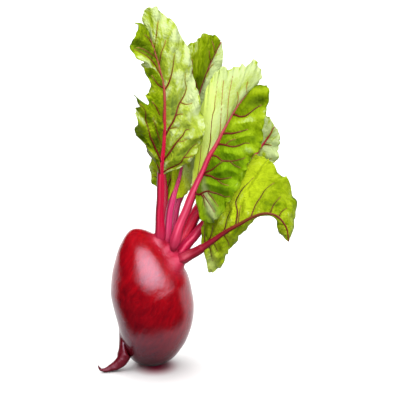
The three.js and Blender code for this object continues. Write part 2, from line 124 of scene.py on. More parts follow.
class Wire:  # a socket in a material: sums and products of wires add Math nodes
    def __init__(self, tree, socket=None):
        self.tree = tree
        self.socket = socket

    def node(self, kind, settings, inputs, output=0):
        made = self.tree.nodes.new("ShaderNode" + kind)
        for name, value in settings.items():
            setattr(made, name, value)
        for key, value in inputs.items():
            if isinstance(value, Wire):
                self.tree.links.new(value.socket, made.inputs[key])
            else:
                made.inputs[key].default_value = value
        return Wire(self.tree, made.outputs[output] if made.outputs else None)

    def calc(self, operation, *values):
        return self.node("Math", {"operation": operation}, dict(enumerate(values)))

    def vector(self, operation, *values, output=0):
        return self.node("VectorMath", {"operation": operation}, dict(enumerate(values)), output)

    def __add__(self, other):
        return self.calc("ADD", self, other)

    def __sub__(self, other):
        return self.calc("SUBTRACT", self, other)

    def __rsub__(self, other):
        return self.calc("SUBTRACT", other, self)

    def __mul__(self, other):
        return self.calc("MULTIPLY", self, other)

    def __pow__(self, other):
        return self.calc("POWER", self, other)

    def __abs__(self):
        return self.calc("ABSOLUTE", self)

    __radd__ = __add__
    __rmul__ = __mul__

    def step(self, low, high):  # soft step: 0 below low, 1 above high, falling where low > high
        inputs = {"Value": self, "From Min": low, "From Max": high}
        return self.node("MapRange", {"interpolation_type": "SMOOTHSTEP"}, inputs)

    def mix(self, factor, a, b, blend="MIX"):  # colour a where the factor is 0, b where it is 1
        a, b = (v if isinstance(v, Wire) else (*v, 1) for v in (a, b))
        return self.node("Mix", {"data_type": "RGBA", "blend_type": blend}, {0: factor, 6: a, 7: b}, 2)

    def coats(self, base, *coats):  # one colour over another, each with its cover from 0 to 1
        for cover, colour in coats:
            base = self.mix(cover, base, colour)
        return base

    def ramp(self, factor, stops):
        made = self.node("ValToRGB", {}, {0: factor})
        elements = made.socket.node.color_ramp.elements
        while len(elements) < len(stops):
            elements.new(1)
        for element, (place, colour) in zip(elements, stops):
            element.position = place
            element.color = (*colour, 1)
        return made

    def grain(self, where, scale, detail=3, roughness=0.55):
        inputs = {"Vector": where, "Scale": scale, "Detail": detail, "Roughness": roughness}
        return self.node("TexNoise", {}, inputs)

    def facts(self, name):  # a vector stored on the mesh
        return self.node("Attribute", {"attribute_name": name}, {}, 1)

    def place(self):
        return self.node("TexCoord", {}, {}, 3)

    def ray(self, output):  # of the light path: 0 seen straight, 2 for diffuse light, 3 for gloss
        return self.node("LightPath", {}, {}, output)

    def part(self, index):  # one component of a vector
        return self.node("SeparateXYZ", {}, {0: self}, index)

    def dot(self, direction):
        return self.vector("DOT_PRODUCT", self, direction, output=1)

    def stretch(self, x, y, z):
        return self.vector("MULTIPLY", self, (x, y, z))

    def bump(self, height, distance, strength):
        return self.node("Bump", {}, {"Height": height, "Distance": distance, "Strength": strength})

    def skin(self, base, roughness, specular, normal, sheen=(1, 1, 1)):
        return self.node("BsdfPrincipled", {}, {
            "Base Color": base, "Roughness": roughness, "Normal": normal,
            "Specular IOR Level": specular, "Specular Tint": (*sheen, 1)})

    def close(self, shader, kind="Material"):
        self.node("Output" + kind, {}, {"Surface": shader})


def newMaterial(name):
    material = bpy.data.materials.new(name)
    material.use_nodes = True
    material.node_tree.nodes.clear()
    return material, Wire(material.node_tree)


root = {
    "centre": (-4.5, 0, 61.5),
    "axis": (0.5, 0.03, 0.866),  # from the centre to the crown
    # distance from the centre to the skin, every 15 degrees round from +X to +Z to -X
    "outline": (34.6, 34, 34.5, 34, 35.5, 42.3, 50.8, 54.3, 46.6, 39.1, 34.9, 32.7, 32, 32, 33.5, 37.6,
                46.5, 59.4, 63.6, 60.8, 53.5, 46.5, 41.2, 37.3),
    "halfDepth": 33,
    "shoulderTurns": (-30, -15, 0, 15, 30),  # degrees over which the outline is evened out in front
    "crownRise": 5,
    "crownSpread": 28,  # degrees
    "tapSpread": 15,  # degrees
    "tapPath": ((-25.6, -12.5, 11.5), (-27, -14.2, 8.6), (-29.3, -15.7, 6.2), (-32, -17, 4.4),
                (-35.5, -18.7, 3.2), (-40, -20.5, 1.9), (-44, -21.5, 2.6), (-46, -22, 6.3)),
    "tapRadii": (5.7, 5, 4.4, 3.8, 2.9, 1.8, 1.1, 0.4),
    "flareBulb": 0.7,  # how long the flare above the tap root keeps the bulb's direction
    "flareTap": 0.5,  # and how early it takes the tap root's
    "tapRidges": 0.09,  # share of the tap root's radius
    "rings": 150,
    "flareRings": 40,
    "tapRings": 60,
    "sides": 180,
    "collar": 9,  # height of the swelling round each stalk's foot
    "collarReach": 1.7,  # in stalk radii
    "collarRise": (15, 28),  # how far above the centre the swellings begin, and are whole
    "footDepth": 8,
    # how pink each stalk's foot is
    "pinkFeet": {"tall_left": 0.8, "tall_middle": 0.8, "large_right": 0.85, "centre": 0.7, "low_right": 0.3},
    "dents": 0.16,
    "wrinkles": 0.14,
    "crimson": (0.175, 0.0006, 0.0030),
    "dark": (0.105, 0.0004, 0.0026),
    # bright is the pale red of the light streaks, and also painted light towards the top of the bulb
    "bright": (0.255, 0.0012, 0.0045),
    "low": (0.036, 0.0010, 0.0045),  # dark red of the dark streaks, and painted shade towards the foot of the bulb
    "pink": (0.19, 0.006, 0.022),  # the crown
    "foot": (0.27, 0.013, 0.042),  # the skin round a stalk's foot
    "spot": (0.62, 0.30, 0.36),  # painted highlights: small pale specks on the crown
    "tap": (0.052, 0.0010, 0.0040),
    "fleck": (0.34, 0.07, 0.10),
    "roughness": 0.08,
    "bump": 0.27,
    "bumpDepth": 0.0006,  # metres
    "sheen": (0.86, 0.79, 1.0),  # tint of the gloss
}


def rootOutline(angle):  # distance from the centre to the skin, for an angle in radians from +X
    values = np.array(root["outline"], float)
    place = np.mod(np.degrees(angle) * len(values) / 360, len(values))
    first = np.floor(place).astype(int)
    return catmullRom(*(values[(first + k) % len(values)] for k in (-1, 0, 1, 2)), place - first)


def rootSkin(directions, axis):
    flat = np.hypot(directions[..., 0], directions[..., 2])
    turn = np.arctan2(directions[..., 2], directions[..., 0])
    outline = rootOutline(turn)
    even = np.mean([rootOutline(turn + shift) for shift in np.radians(root["shoulderTurns"])], axis=0)
    fuller = (1 - flat ** 4) * smoothStep(directions[..., 2], 0.1, 0.4)  # the shoulder is softer in front
    outline = outline + (even - outline) * fuller
    reach = 1 / np.hypot(flat / outline, directions[..., 1] / root["halfDepth"])
    away = np.degrees(np.arccos(np.clip(directions @ axis, -1, 1)))
    rise = root["crownRise"] * (1 - smoothStep(away, 0, root["crownSpread"]))
    return np.array(root["centre"]) + directions * (reach + rise)[..., None]


def flare(before, start, end, heading):  # rings that carry on from the bulb into the tap root
    reach = np.linalg.norm(end - start, axis=-1, keepdims=True)
    leaving = unit(start - before) * reach * root["flareBulb"]
    arriving = heading * reach * root["flareTap"]
    times = np.linspace(0, 1, root["flareRings"] + 2)[1:-1]
    return [start * (1 + 2 * t) * (1 - t) ** 2 + leaving * t * (1 - t) ** 2 + end * t * t * (3 - 2 * t)
            - arriving * t * t * (1 - t) for t in times]


def footGap(points, names):  # distance from the nearest stalk's foot in stalk radii, and its direction
    nearest, heading = np.full(points.shape[:-1], 99.0), np.zeros(points.shape)
    for leaf in (leaves[name] for name in names):
        start, after = np.array(leaf["midrib"], float).T[:2]
        along = unit(after - start)
        offset = points - start
        rise = offset @ along
        across = np.linalg.norm(offset - rise[..., None] * along, axis=-1)
        gap = np.hypot(across, np.minimum(rise + root["footDepth"], 0)) / leaf["radius"]
        heading = np.where((gap < nearest)[..., None], along, heading)
        nearest = np.minimum(nearest, gap)
    return nearest, heading


def roughenSkin(skin, stage, axis):  # swollen stalk feet, shallow dents, fine rings at the tap root
    outward = unit(skin - skin.mean(axis=1, keepdims=True))
    ring, side = np.meshgrid(np.arange(skin.shape[0]), np.arange(skin.shape[1]), indexing="ij")
    x, y, z = (skin[..., k] for k in range(3))
    upper = smoothStep((skin - np.array(root["centre"])) @ axis, *root["collarRise"])
    gap, heading = footGap(skin, leaves)
    collars = root["collar"] * upper * bell(gap / root["collarReach"])
    dents = noise(x / 19 + z / 31, y / 17 + z / 23, 3) + 0.45 * noise(x / 7, (y + z) / 8, 4)
    tap = (smoothStep(stage, 1.6, 2.1) * (1 - smoothStep(stage, 2.8, 3)))[:, None]
    wrinkles = noise(ring / 1.7, side / 26, 5) * (smoothStep(stage, 0.25, 0.1)[:, None] + 1.2 * tap)
    lift = root["dents"] * dents * (1 - tap) + root["wrinkles"] * wrinkles
    lift[-2:] = 0
    skin = skin + outward * lift[..., None] + heading * collars[..., None]
    skin[..., 2] = np.maximum(skin[..., 2], 0)  # the flat spot that it rests on
    return skin


def tapRings(across, cos, sin, turn):  # across is where the bulb's first side faces
    rings = []
    for t in np.linspace(0, 1, root["tapRings"]):
        early, late = np.clip((t - 1e-3, t + 1e-3), 0, 1)
        along = -unit(spline(root["tapPath"], late) - spline(root["tapPath"], early))
        across = square(across, along)
        side = across * cos + np.cross(along, across) * sin
        ridges = root["tapRidges"] * math.sin(math.pi * t) * np.cos(3 * turn + 2 * t + 0.5)[:, None]
        radius = spline(np.array(root["tapRadii"])[:, None], t)[0]
        rings.append(spline(root["tapPath"], t) + radius * (1 + ridges) * side)
    return rings


def buildRoot(material):
    axis = unit(np.array(root["axis"]))
    across = square(np.array([1.0, 0, 0]), axis)
    deep = np.cross(axis, across)
    turn = np.linspace(0, 2 * np.pi, root["sides"], endpoint=False)
    cos, sin = np.cos(turn)[:, None], np.sin(turn)[:, None]
    bulb = []
    for polar in np.radians(np.linspace(0.5, 180 - root["tapSpread"], root["rings"])):
        bulb.append(rootSkin(axis * math.cos(polar) + (across * cos + deep * sin) * math.sin(polar), axis))
    tap = tapRings(across, cos, sin, turn)
    heading = unit(tap[1].mean(axis=0) - tap[0].mean(axis=0))
    joined = flare(bulb[-2], bulb[-1], tap[0], heading)
    # 0 to 1 down the bulb, to 2 along the flare and to 3 at the tip
    stage = np.concatenate([k + np.linspace(0, 1, len(run)) for k, run in enumerate((bulb, joined, tap))])
    skin = roughenSkin(np.array(bulb + joined + tap), stage, axis)
    count, sides = skin.shape[:2]
    last = count * sides
    points = np.vstack([skin.reshape(-1, 3), skin[0].mean(0), skin[-1].mean(0)])
    faces = [f[::-1] for f in gridFaces(count, sides, 0, True)]
    faces += [[j, (j + 1) % sides, last] for j in range(sides)]
    faces += [[last - sides + (j + 1) % sides, last - sides + j, last + 1] for j in range(sides)]
    grain = (points - np.array(root["centre"])) @ np.stack([across, deep, axis], axis=-1)
    stage = np.append(np.repeat(stage, sides), (0, 3))
    facts = np.stack([stage, footGap(points, root["pinkFeet"])[0], 0 * stage], axis=-1)
    return makePiece("root_skin", points, faces, [material], "root",
                     {"rootGrain": grain, "rootFacts": facts})


def skinMaterial():
    material, wire = newMaterial("beet_skin")
    place, grain, facts = wire.place(), wire.facts("rootGrain"), wire.facts("rootFacts")
    stage, gap, height = facts.part(0), facts.part(1), grain.part(2)
    warp = wire.node("TexNoise", {}, {"Vector": grain, "Scale": 0.09, "Detail": 2.0}, 1)
    bent = wire.vector("MULTIPLY_ADD", warp, (9, 9, 9), grain)
    streaks = wire.grain(bent.stretch(0.30, 0.30, 0.045), 1.0, 6, 0.68)
    hairs = wire.grain(grain.stretch(1.6, 1.6, 0.12), 1.0, 3)
    mottle = wire.grain(grain.stretch(0.10, 0.10, 0.06), 1.0, 4, 0.6)
    ripple = wire.grain(grain.stretch(0.5, 0.5, 0.3), 1.0, 4, 0.65)
    pink = (gap + mottle * 1.6).step(5.6, 1.6) * stage.step(0.45, 0.3)
    # painted highlights: small pale specks scattered over the crown
    spots = wire.node("TexVoronoi", {}, {"Vector": place, "Scale": 260.0}).step(0.2, 0.08)
    spots = spots * wire.grain(place, 90, 2).step(0.52, 0.6)
    # height along the bulb, ruffled by the mottle, that sets the painted shade below and the painted light
    # above
    shadingHeight = height + mottle * 12
    tap = stage.step(1.2, 2.0)
    base = wire.mix((mottle * 0.6 + streaks * 0.4).step(0.32, 0.66), root["dark"], root["crimson"])
    base = wire.coats(
        base,
        (streaks.step(0.48, 0.70) * 0.55, root["bright"]),
        (streaks.step(0.45, 0.28) * 0.45, root["low"]),
        (hairs.step(0.6, 0.75) * 0.10, root["fleck"]),
        (pink * 0.85, root["pink"]),
        ((gap + mottle * 1.2).step(2.9, 1.5) * pink * 0.7, root["foot"]),
        (spots * pink * 0.6, root["spot"]),
        # painted shade: the skin darkens towards the foot of the bulb
        (shadingHeight.step(14, -44) * 0.75, root["low"]),
        (tap * (0.55 + streaks * 0.5), root["tap"]),
        (tap * hairs.step(0.5, 0.68) * 0.1, root["fleck"]),
        # painted light: the skin is lighter towards the top of the bulb
        (shadingHeight.step(4, 42) * 0.2, root["bright"]))
    rough = root["roughness"] + mottle * 0.1 + pink * 0.2
    relief = streaks * 0.9 + hairs * 0.4 + wire.grain(place, 900, 2) * 0.15 + ripple
    normal = wire.bump(relief, root["bumpDepth"], root["bump"])
    shiny = wire.skin(base, rough, 0.6, normal, root["sheen"])
    dull = wire.skin(base, rough + 0.2, 0.15, normal, root["sheen"])
    wire.close(wire.node("MixShader", {}, {0: tap * 0.9 + pink * 0.75, 1: shiny, 2: dull}))
    return material


blade = {
    "thickness": 0.45,
    "crowding": 1.35,  # how the side veins crowd towards the foot of the blade
    "lobes": 0.9,
    "arcs": 1.5,  # bow of the blade between neighbouring lobes
    "sweep": 0.1,  # how far the blade's arch leans back towards the crown
    "fullSpan": 20,  # half width from which waves and teeth have their full size
    "plainShifts": (-0.6, -0.3, 0, 0.3, 0.6),  # side veins over which the margin is evened out
    "frill": 1.1,  # fine waves along the margin
    "frillsPerVein": 2.3,
    "scallop": 1.0,  # small teeth of the margin
    "teethPerVein": (3.4, 7.5),
    "bays": 1.3,  # depth of the small bays between them
    "baysPerVein": 1.9,
    "swelling": 2.4,  # how far the fields stand out between the veins
    "blisters": 2.1,  # swelling of the small fields between fine veins
    "blisterSize": 6.5,
    "blisterStretch": 1.35,  # how much longer they are on the way out from the midrib
    "fineBlisters": 0.28,  # share of still smaller ones
    "stray": 4,  # how far their rows wander
    "paintedBlisterShading": 0.8,  # painted sheen and shade: how much paler the blisters' tops are than the creases between them
    "toneDrift": 0.1,
    "rowsPerVein": 26,
    "columns": 50,
    "roughness": 0.42,
    # from deep green to pale yellow-green; the palest stops paint the sheen of the blades as well as their
    # pale green
    "greens": ((0.0, (0.022, 0.040, 0.0008)), (0.3, (0.062, 0.100, 0.0012)), (0.5, (0.120, 0.174, 0.001)),
               (0.75, (0.240, 0.305, 0.009)), (1.0, (0.430, 0.500, 0.235))),
    "sheen": (0.92, 1.0, 0.12),  # tint of the gloss
    "greener": (0.68, 0.96, 0.65),  # share of the colour left where a leaf is greener
    "underside": (0.38, 0.42, 0.20),
    "lit": (0.66, 0.80, 0.02),  # painted light: brighter yellow-green where a blade lies in the shade of another leaf
    "stain": (0.22, 0.020, 0.022),  # beside the veins
    "through": (0.36, 0.50, 0.03),
    "paleMargin": 0.16,
    "darkBays": 0.36,
    "farGap": 30.0,
    "bandAway": 5,  # from a large vein to the middle of the painted band beside it, lighter on one side of the vein and shaded on the other
    "bandWidth": 3.5,
}

rib = {
    "crown": 0.95,  # share of the stalk's radius at the crown
    "midrib": 0.82,  # and where the blade starts
    "tip": 0.5,  # radius of the midrib at the leaf's tip
    "groove": 0.22,
    "flutes": 0.05,
    "sides": 36,
    "steps": 160,
    "footSwell": 0.14,
    "swellReach": 9,
    "footFlare": 0.05,
    "flareReach": 3,
    "socket": 9,  # how deep the stalk goes into the crown
    "socketTaper": [[0.4], [0.8]],  # of the stalk's radius, at the socket's end and half way into it
    "veinSwell": 1.12,
    "veinTaper": 0.7,
    "veinSteps": 8,  # for each given point
    "veinGap": 0.8,  # how far past a vein's skin the blade's colour counts it as near
    "largeVein": 0.6,  # radius from which a vein has a band of painted light on one side and of painted shade on the other
    "veinLift": 0.13,  # how far side veins lie in front of the blade's middle
    "veinTip": 0.27,
    "veinSides": 8,
    "thinVein": (0.30, 0.12, 0.045),
    "veinFleck": (0.22, 0.05, 0.04),
    "gleam": (0.62, 0.12, 0.24),  # pale fibres of the stalk
    "highlightStreak": (0.80, 0.22, 0.34),  # painted highlight: a pale streak along the stalk's face
}

# The leaves, each with its form, as in its solids, and its colours. The midrib, from the crown up, and
# the left and right margins, from the foot of the blade to its tip, are a row each of x, y and z. The
# lines are side veins: half (0 left, 1 right) and radius, then in hundredths the place among the side
# veins of each point, and its share of the way from the midrib out. The tones run from 0, deep green, to
# 1, pale yellow-green, and pairs are for the left and right half; besides the leaf's own colour they
# paint light and shade, darker on a half that faces away from the lights and pale for painted sheen. A
# patch is half, vein, share of the way out, its span across veins, its span along them, and amount;
# patches are partly the leaf's own darker and paler places and partly painted shade in folds and
# painted sheen on bulges, and lit patches are painted light where a blade lies in shade. Stout is the
# stalk's radius over its solid's, and darkSide is 1 where painted shade darkens the stalk's right, -1
# where its left. Gleam sets the pale fibres and the painted highlight streak of the stalk.
usualLeaf = {
    "arch": 0.1, "ruffle": 1.6, "lines": (),
    "relief": (0.8, 0.8), "paintedBands": (0.05, 0.05), "folds": (1, 1),
    "patches": (), "pale": (), "green": (), "lit": (),
    "darkSide": 1, "taper": 0.5, "gleam": 0.12,
    "veinTones": ((0.085, 0.006, 0.005), (0.070, 0.030, 0.004)),
}
leaves = {}
leaves["tall_left"] = {
    "veins": 8, "bareStalk": 0.31, "radius": 2.9, "arch": 0.16, "ruffle": 2, "phase": 0.1,
    "midrib": ((4.5, 4.5, 5.5, 6, 7, 8.5, 9, 9, 6.5, 2, -2.5, -6.5),
               (-5, -9, -12, -16, -19, -20, -20, -19, -17, -14, -10, -6),
               (110.5, 129, 142, 159, 175.5, 191.5, 211, 229, 242.5, 258.5, 271, 278.5)),
    "left": (
        (3.5, 2, -4, -8.5, -12, -13, -10, -12, -11, -5, -3.5, -2, -4, -6, -11.5, -14.5, -13.5, -11.5),
        (-20, -24, -29, -32, -34, -36, -34, -36, -35, -28, -26, -25, -25, -26, -28, -24, -18, -12),
        (167, 176, 186.5, 194, 200, 212.5, 217, 223, 228, 221, 226, 231, 241, 250.5, 254, 264.5, 273.5,
         281)),
    "right": (
        (11, 15.5, 22, 29, 34, 37.5, 39.5, 39, 35.5, 32.5, 29.5, 26.5, 21, 15, 7.5, 0, -5, -7),
        (-20, -22, -25, -27, -27, -25, -23, -19, -15, -12, -9, -8, -7, -6, -5, -4, -3, -4),
        (167, 169, 171.5, 176, 183, 190.5, 199.5, 211, 224.5, 237, 250.5, 262, 271.5, 280.5, 288, 291, 290,
         284.5)),
    "lines": (
        (0, 0.55, (15, 37, 60, 95, 135), (0, 71, 93, 100, 96)),
        (0, 0.9, (138, 188, 210, 221, 268, 319, 328), (0, 30, 43, 56, 70, 79, 93)),
        (0, 0.45, (251, 283, 308, 328), (14, 29, 39, 52)),
        (0, 0.5, (393, 419, 429, 436), (23, 47, 62, 76)),
        (0, 0.55, (531, 531, 541, 557), (0, 38, 58, 69)),
        (0, 0.6, (582, 617, 641, 654, 662), (0, 23, 53, 73, 89)),
        (0, 0.45, (657, 659, 666, 671, 671), (0, 24, 47, 64, 84)),
        (0, 0.4, (720, 727, 729), (0, 28, 56)),
        (1, 0.7, (299, 334, 353, 374, 394, 401, 404, 414, 441, 458), (0, 11, 22, 32, 41, 53, 63, 72, 69,
            74)),
        (1, 0.35, (331, 326, 321), (14, 24, 33)),
        (1, 0.4, (369, 363, 354), (33, 43, 52)),
        (1, 0.4, (398, 381, 371, 361), (48, 58, 66, 79)),
        (1, 0.6, (522, 519, 524, 531, 539, 544), (0, 15, 29, 42, 53, 65)),
        (1, 0.4, (627, 627, 609, 601), (0, 26, 48, 62)),
        (1, 0.4, (697, 672, 659, 649), (0, 47, 68, 79)),
        (1, 0.8, (151, 191, 235, 261, 280, 295, 291), (0, 14, 26, 36, 49, 56, 66)),
        (1, 0.6, (42, 67, 98, 115, 141, 170, 195, 220, 223), (0, 22, 43, 56, 69, 69, 74, 81, 89)),
        (1, 0.35, (170, 168, 171), (69, 87, 97)),
        (1, 0.3, (261, 256, 260), (36, 49, 61)),
    ),
    "tones": (0.36, 0.74), "relief": (0.9, 0.86), "paintedBands": (0.45, 0.15), "folds": (2.0, 1.2),
    "patches": ((0, 4.9, 0.5, 0.5, 0.4, -0.25), (0, 5.9, 0.6, 0.35, 0.4, 0.3),
                (0, 3.25, 0.48, 0.14, 0.14, 0.5), (0, 3.1, 0.68, 0.2, 0.12, -0.3),
                (0, 1.9, 0.6, 0.4, 0.3, -0.2), (0, 2.5, 0.85, 0.25, 0.15, 0.3),
                (0, 1.2, 0.8, 0.2, 0.2, 0.3), (1, 6.3, 0.1, 0.5, 0.2, -0.4),
                (1, 4.2, 0.2, 0.7, 0.22, -0.4), (1, 1.9, 0.5, 0.6, 0.5, -0.3),
                (1, 3.6, 0.85, 0.4, 0.2, 0.15)),
    "pale": ((1, 4.2, 0.6, 2.2, 0.7, 0.16),),
    "stalk": (0.36, 0.002, 0.026), "edge": (0.12, 0.002, 0.010), "tip": (0.16, 0.04, 0.02),
    "darkSide": -1, "taper": 0.6, "gleam": 0.06, "stout": 1.32,
}
leaves["tall_middle"] = {
    "veins": 6, "bareStalk": 0.2, "radius": 2.3, "phase": 0.35,
    "midrib": ((10.5, 12, 14.5, 17, 19.5, 21.5, 24, 28.5, 35.5, 41.5, 47.5, 53.5),
               (-1, 1, 3, 5, 7, 9, 11, 14, 17, 19, 20, 19),
               (107.5, 126.5, 138.5, 147.5, 155.5, 165.5, 177.5, 197.5, 221, 238.5, 251.5, 263.5)),
    "left": ((11, 13.5, 14, 15, 18, 23, 27, 26, 26.5, 32, 35.5, 39, 43.5, 49),
             (3, 5, 7, 9, 11, 13, 14, 15, 15, 15, 15, 16, 17, 18),
             (139, 151, 166, 182, 200.5, 219, 235, 247.5, 258, 263.5, 266, 269, 268.5, 267.5)),
    "right": ((18.5, 22, 26, 28.5, 31.5, 35.5, 39.5, 43.5, 47, 50, 53, 54.5),
              (4, 6, 8, 9, 11, 13, 15, 17, 18, 19, 20, 20),
              (139.5, 140.5, 142, 148.5, 158, 170.5, 186.5, 204, 219.5, 231, 242, 252.5)),
    "lines": (
        (0, 0.55, (437, 402, 371, 369, 369), (0, 40, 58, 70, 83)),
        (0, 0.4, (535, 522, 516), (0, 39, 61)),
        (0, 0.35, (564, 550, 534), (0, 58, 85)),
        (1, 0.35, (502, 517, 529), (0, 11, 32)),
    ),
    "tones": (0.44, 0.97), "relief": (0.6, 0.8),
    "patches": ((0, 4.0, 0.25, 0.8, 0.3, -0.25), (0, 3.6, 0.85, 0.4, 0.2, 0.2),
                (1, 0.6, 0.5, 1.2, 0.9, -0.4)),
    "lit": ((1, 0.6, 0.5, 1.2, 0.9, 0.8), (0, 0.4, 0.5, 1, 0.9, 0.5)),
    "stalk": (0.36, 0.012, 0.08), "edge": (0.2, 0.004, 0.03), "tip": (0.10, 0.03, 0.008),
    "darkSide": -1, "stout": 1.55,
}
leaves["large_right"] = {
    "veins": 8, "bareStalk": 0.31, "radius": 3.7, "ruffle": 2, "phase": 0.6,
    "midrib": (
        (17, 19.5, 22.5, 26, 29, 32.5, 35.5, 39, 43.5, 49, 54.5, 60, 65.5, 72, 77.5, 82),
        (-8, -8, -8, -9, -10, -11, -12, -13, -13, -11, -8, -4, -1, 3, 6, 8),
        (108, 116.5, 124.5, 133, 141.5, 150, 157.5, 165.5, 177, 186, 196.5, 206, 214.5, 222.5, 228, 230.5)),
    "left": ((29.5, 31, 32.5, 34, 36.5, 40.5, 45, 50.5, 53.5, 59, 66, 72.5, 77, 82, 85),
             (-10, -8, -7, -6, -5, -4, -3, -1, 0, 1, 3, 5, 7, 8, 8),
             (153, 163.5, 173, 189, 208.5, 224, 236, 242.5, 245.5, 244, 246, 246, 249, 246.5, 239)),
    "right": (
        (35.5, 36, 37.5, 41, 46.5, 51.5, 56, 61.5, 67.5, 72, 73, 78.5, 84, 85.5, 87, 88.5, 90.5, 89.5),
        (-15, -18, -20, -22, -24, -25, -25, -24, -22, -20, -18, -16, -14, -12, -9, -6, -3, 1),
        (144.5, 136, 129.5, 127.5, 127.5, 131, 139.5, 147.5, 157.5, 165.5, 172.5, 178.5, 185, 196.5, 205.5,
         214.5, 223.5, 230.5)),
    "lines": (
        (1, 0.8, (601, 606, 607, 617, 636, 661, 677), (0, 6, 21, 38, 51, 66, 81)),
        (1, 0.85, (484, 501, 514, 534, 554, 571), (0, 10, 20, 33, 46, 59)),
        (1, 0.75, (408, 428, 449, 468, 493, 514, 524), (0, 6, 21, 40, 54, 63, 74)),
        (1, 0.7, (333, 356, 371, 379, 403, 403, 409), (0, 7, 18, 34, 50, 66, 84)),
        (1, 0.5, (378, 406, 443, 463), (33, 53, 76, 84)),
        (1, 0.8, (205, 256, 299, 346, 381), (0, 10, 20, 29, 36)),
        (1, 0.85, (183, 220, 273, 301, 324, 344, 356), (0, 6, 24, 42, 56, 67, 74)),
        (1, 0.85, (15, 40, 123, 178, 225, 260, 280, 291, 309), (0, 19, 30, 33, 41, 58, 74, 85, 94)),
        (1, 0.5, (156, 171, 166), (34, 44, 64)),
        (1, 0.45, (175, 190, 208, 220), (37, 48, 65, 86)),
        (1, 0.4, (223, 240, 245), (43, 64, 84)),
        (1, 0.35, (449, 483, 509), (21, 27, 38)),
        (1, 0.35, (301, 314, 329), (42, 62, 79)),
        (0, 0.3, (98, 150, 196, 231, 250), (0, 10, 19, 27, 38)),
        (0, 0.36, (314, 353, 358, 366, 381, 379, 388), (0, 14, 27, 49, 56, 66, 89)),
        (0, 0.3, (439, 461, 456, 448, 449), (0, 11, 29, 65, 84)),
        (0, 0.3, (526, 526, 509, 504, 511), (0, 16, 43, 60, 89)),
        (0, 0.3, (637, 616, 567), (0, 33, 56)),
        (0, 0.27, (707, 662, 657), (19, 49, 60)),
    ),
    "tones": (0.92, 0.385), "relief": (0.22, 0.42), "paintedBands": (0.0, 0.18), "folds": (0.25, 1),
    "patches": ((0, 1.5, 0.5, 1.6, 0.9, 0.3), (1, 5.6, 0.15, 0.3, 0.3, 0.35),
                (1, 6.1, 0.55, 0.3, 0.3, 0.3), (1, 6.9, 0.6, 0.2, 0.3, -0.3),
                (1, 4.9, 0.75, 0.35, 0.2, 0.25), (1, 7.4, 0.6, 0.3, 0.4, 0.25),
                (1, 2.7, 0.75, 0.4, 0.2, -0.1)),
    "pale": ((1, 2.0, 0.62, 0.26, 0.45, 0.85),),
    "green": ((1, 3.5, 0.5, 2.2, 0.8, 0.9),),
    "lit": ((0, 1.7, 0.5, 1.7, 0.9, 0.8),),
    "stalk": (0.38, 0.018, 0.055), "edge": (0.18, 0.003, 0.014), "tip": (0.11, 0.027, 0.013),
    "taper": 0.62, "gleam": 0.24, "veinTones": ((0.072, 0.004, 0.003), (0.050, 0.020, 0.003)),
    "stout": 1.1,
}
leaves["back_right"] = {
    "veins": 5, "bareStalk": 0.62, "radius": 3.3, "phase": 0.2,
    "midrib": ((22, 26, 31, 35.5, 41.5, 49.5, 59.5, 70, 79, 85.5, 92, 97.5),
               (-1, 0, 2, 5, 8, 13, 18, 24, 28, 31, 32, 31),
               (97, 102.5, 107.5, 112.5, 118.5, 129, 140.5, 154, 166.5, 175, 183.5, 193.5)),
    "left": ((64, 66.5, 74, 83, 90),
             (24, 24, 26, 28, 30),
             (159, 173.5, 188.5, 199, 203)),
    "right": ((77, 83, 92, 98, 100.5, 102, 100),
              (26, 27, 28, 29, 30, 31, 31),
              (151, 159.5, 161.5, 164, 173.5, 182, 189.5)),
    "lines": (
        (1, 0.5, (359, 347, 331), (0, 34, 61)),
        (1, 0.6, (244, 228, 223, 224, 236), (0, 20, 35, 62, 81)),
        (0, 0.4, (293, 324, 337), (0, 19, 43)),
    ),
    "tones": (0.88, 0.92), "relief": (0.6, 0.6),
    "patches": ((1, 2.3, 0.5, 0.4, 0.4, -0.2), (1, 0.8, 0.4, 0.8, 0.5, -0.3)),
    "stalk": (0.34, 0.004, 0.035), "edge": (0.18, 0.002, 0.015), "tip": (0.18, 0.03, 0.02),
    "stout": 1.3,
}
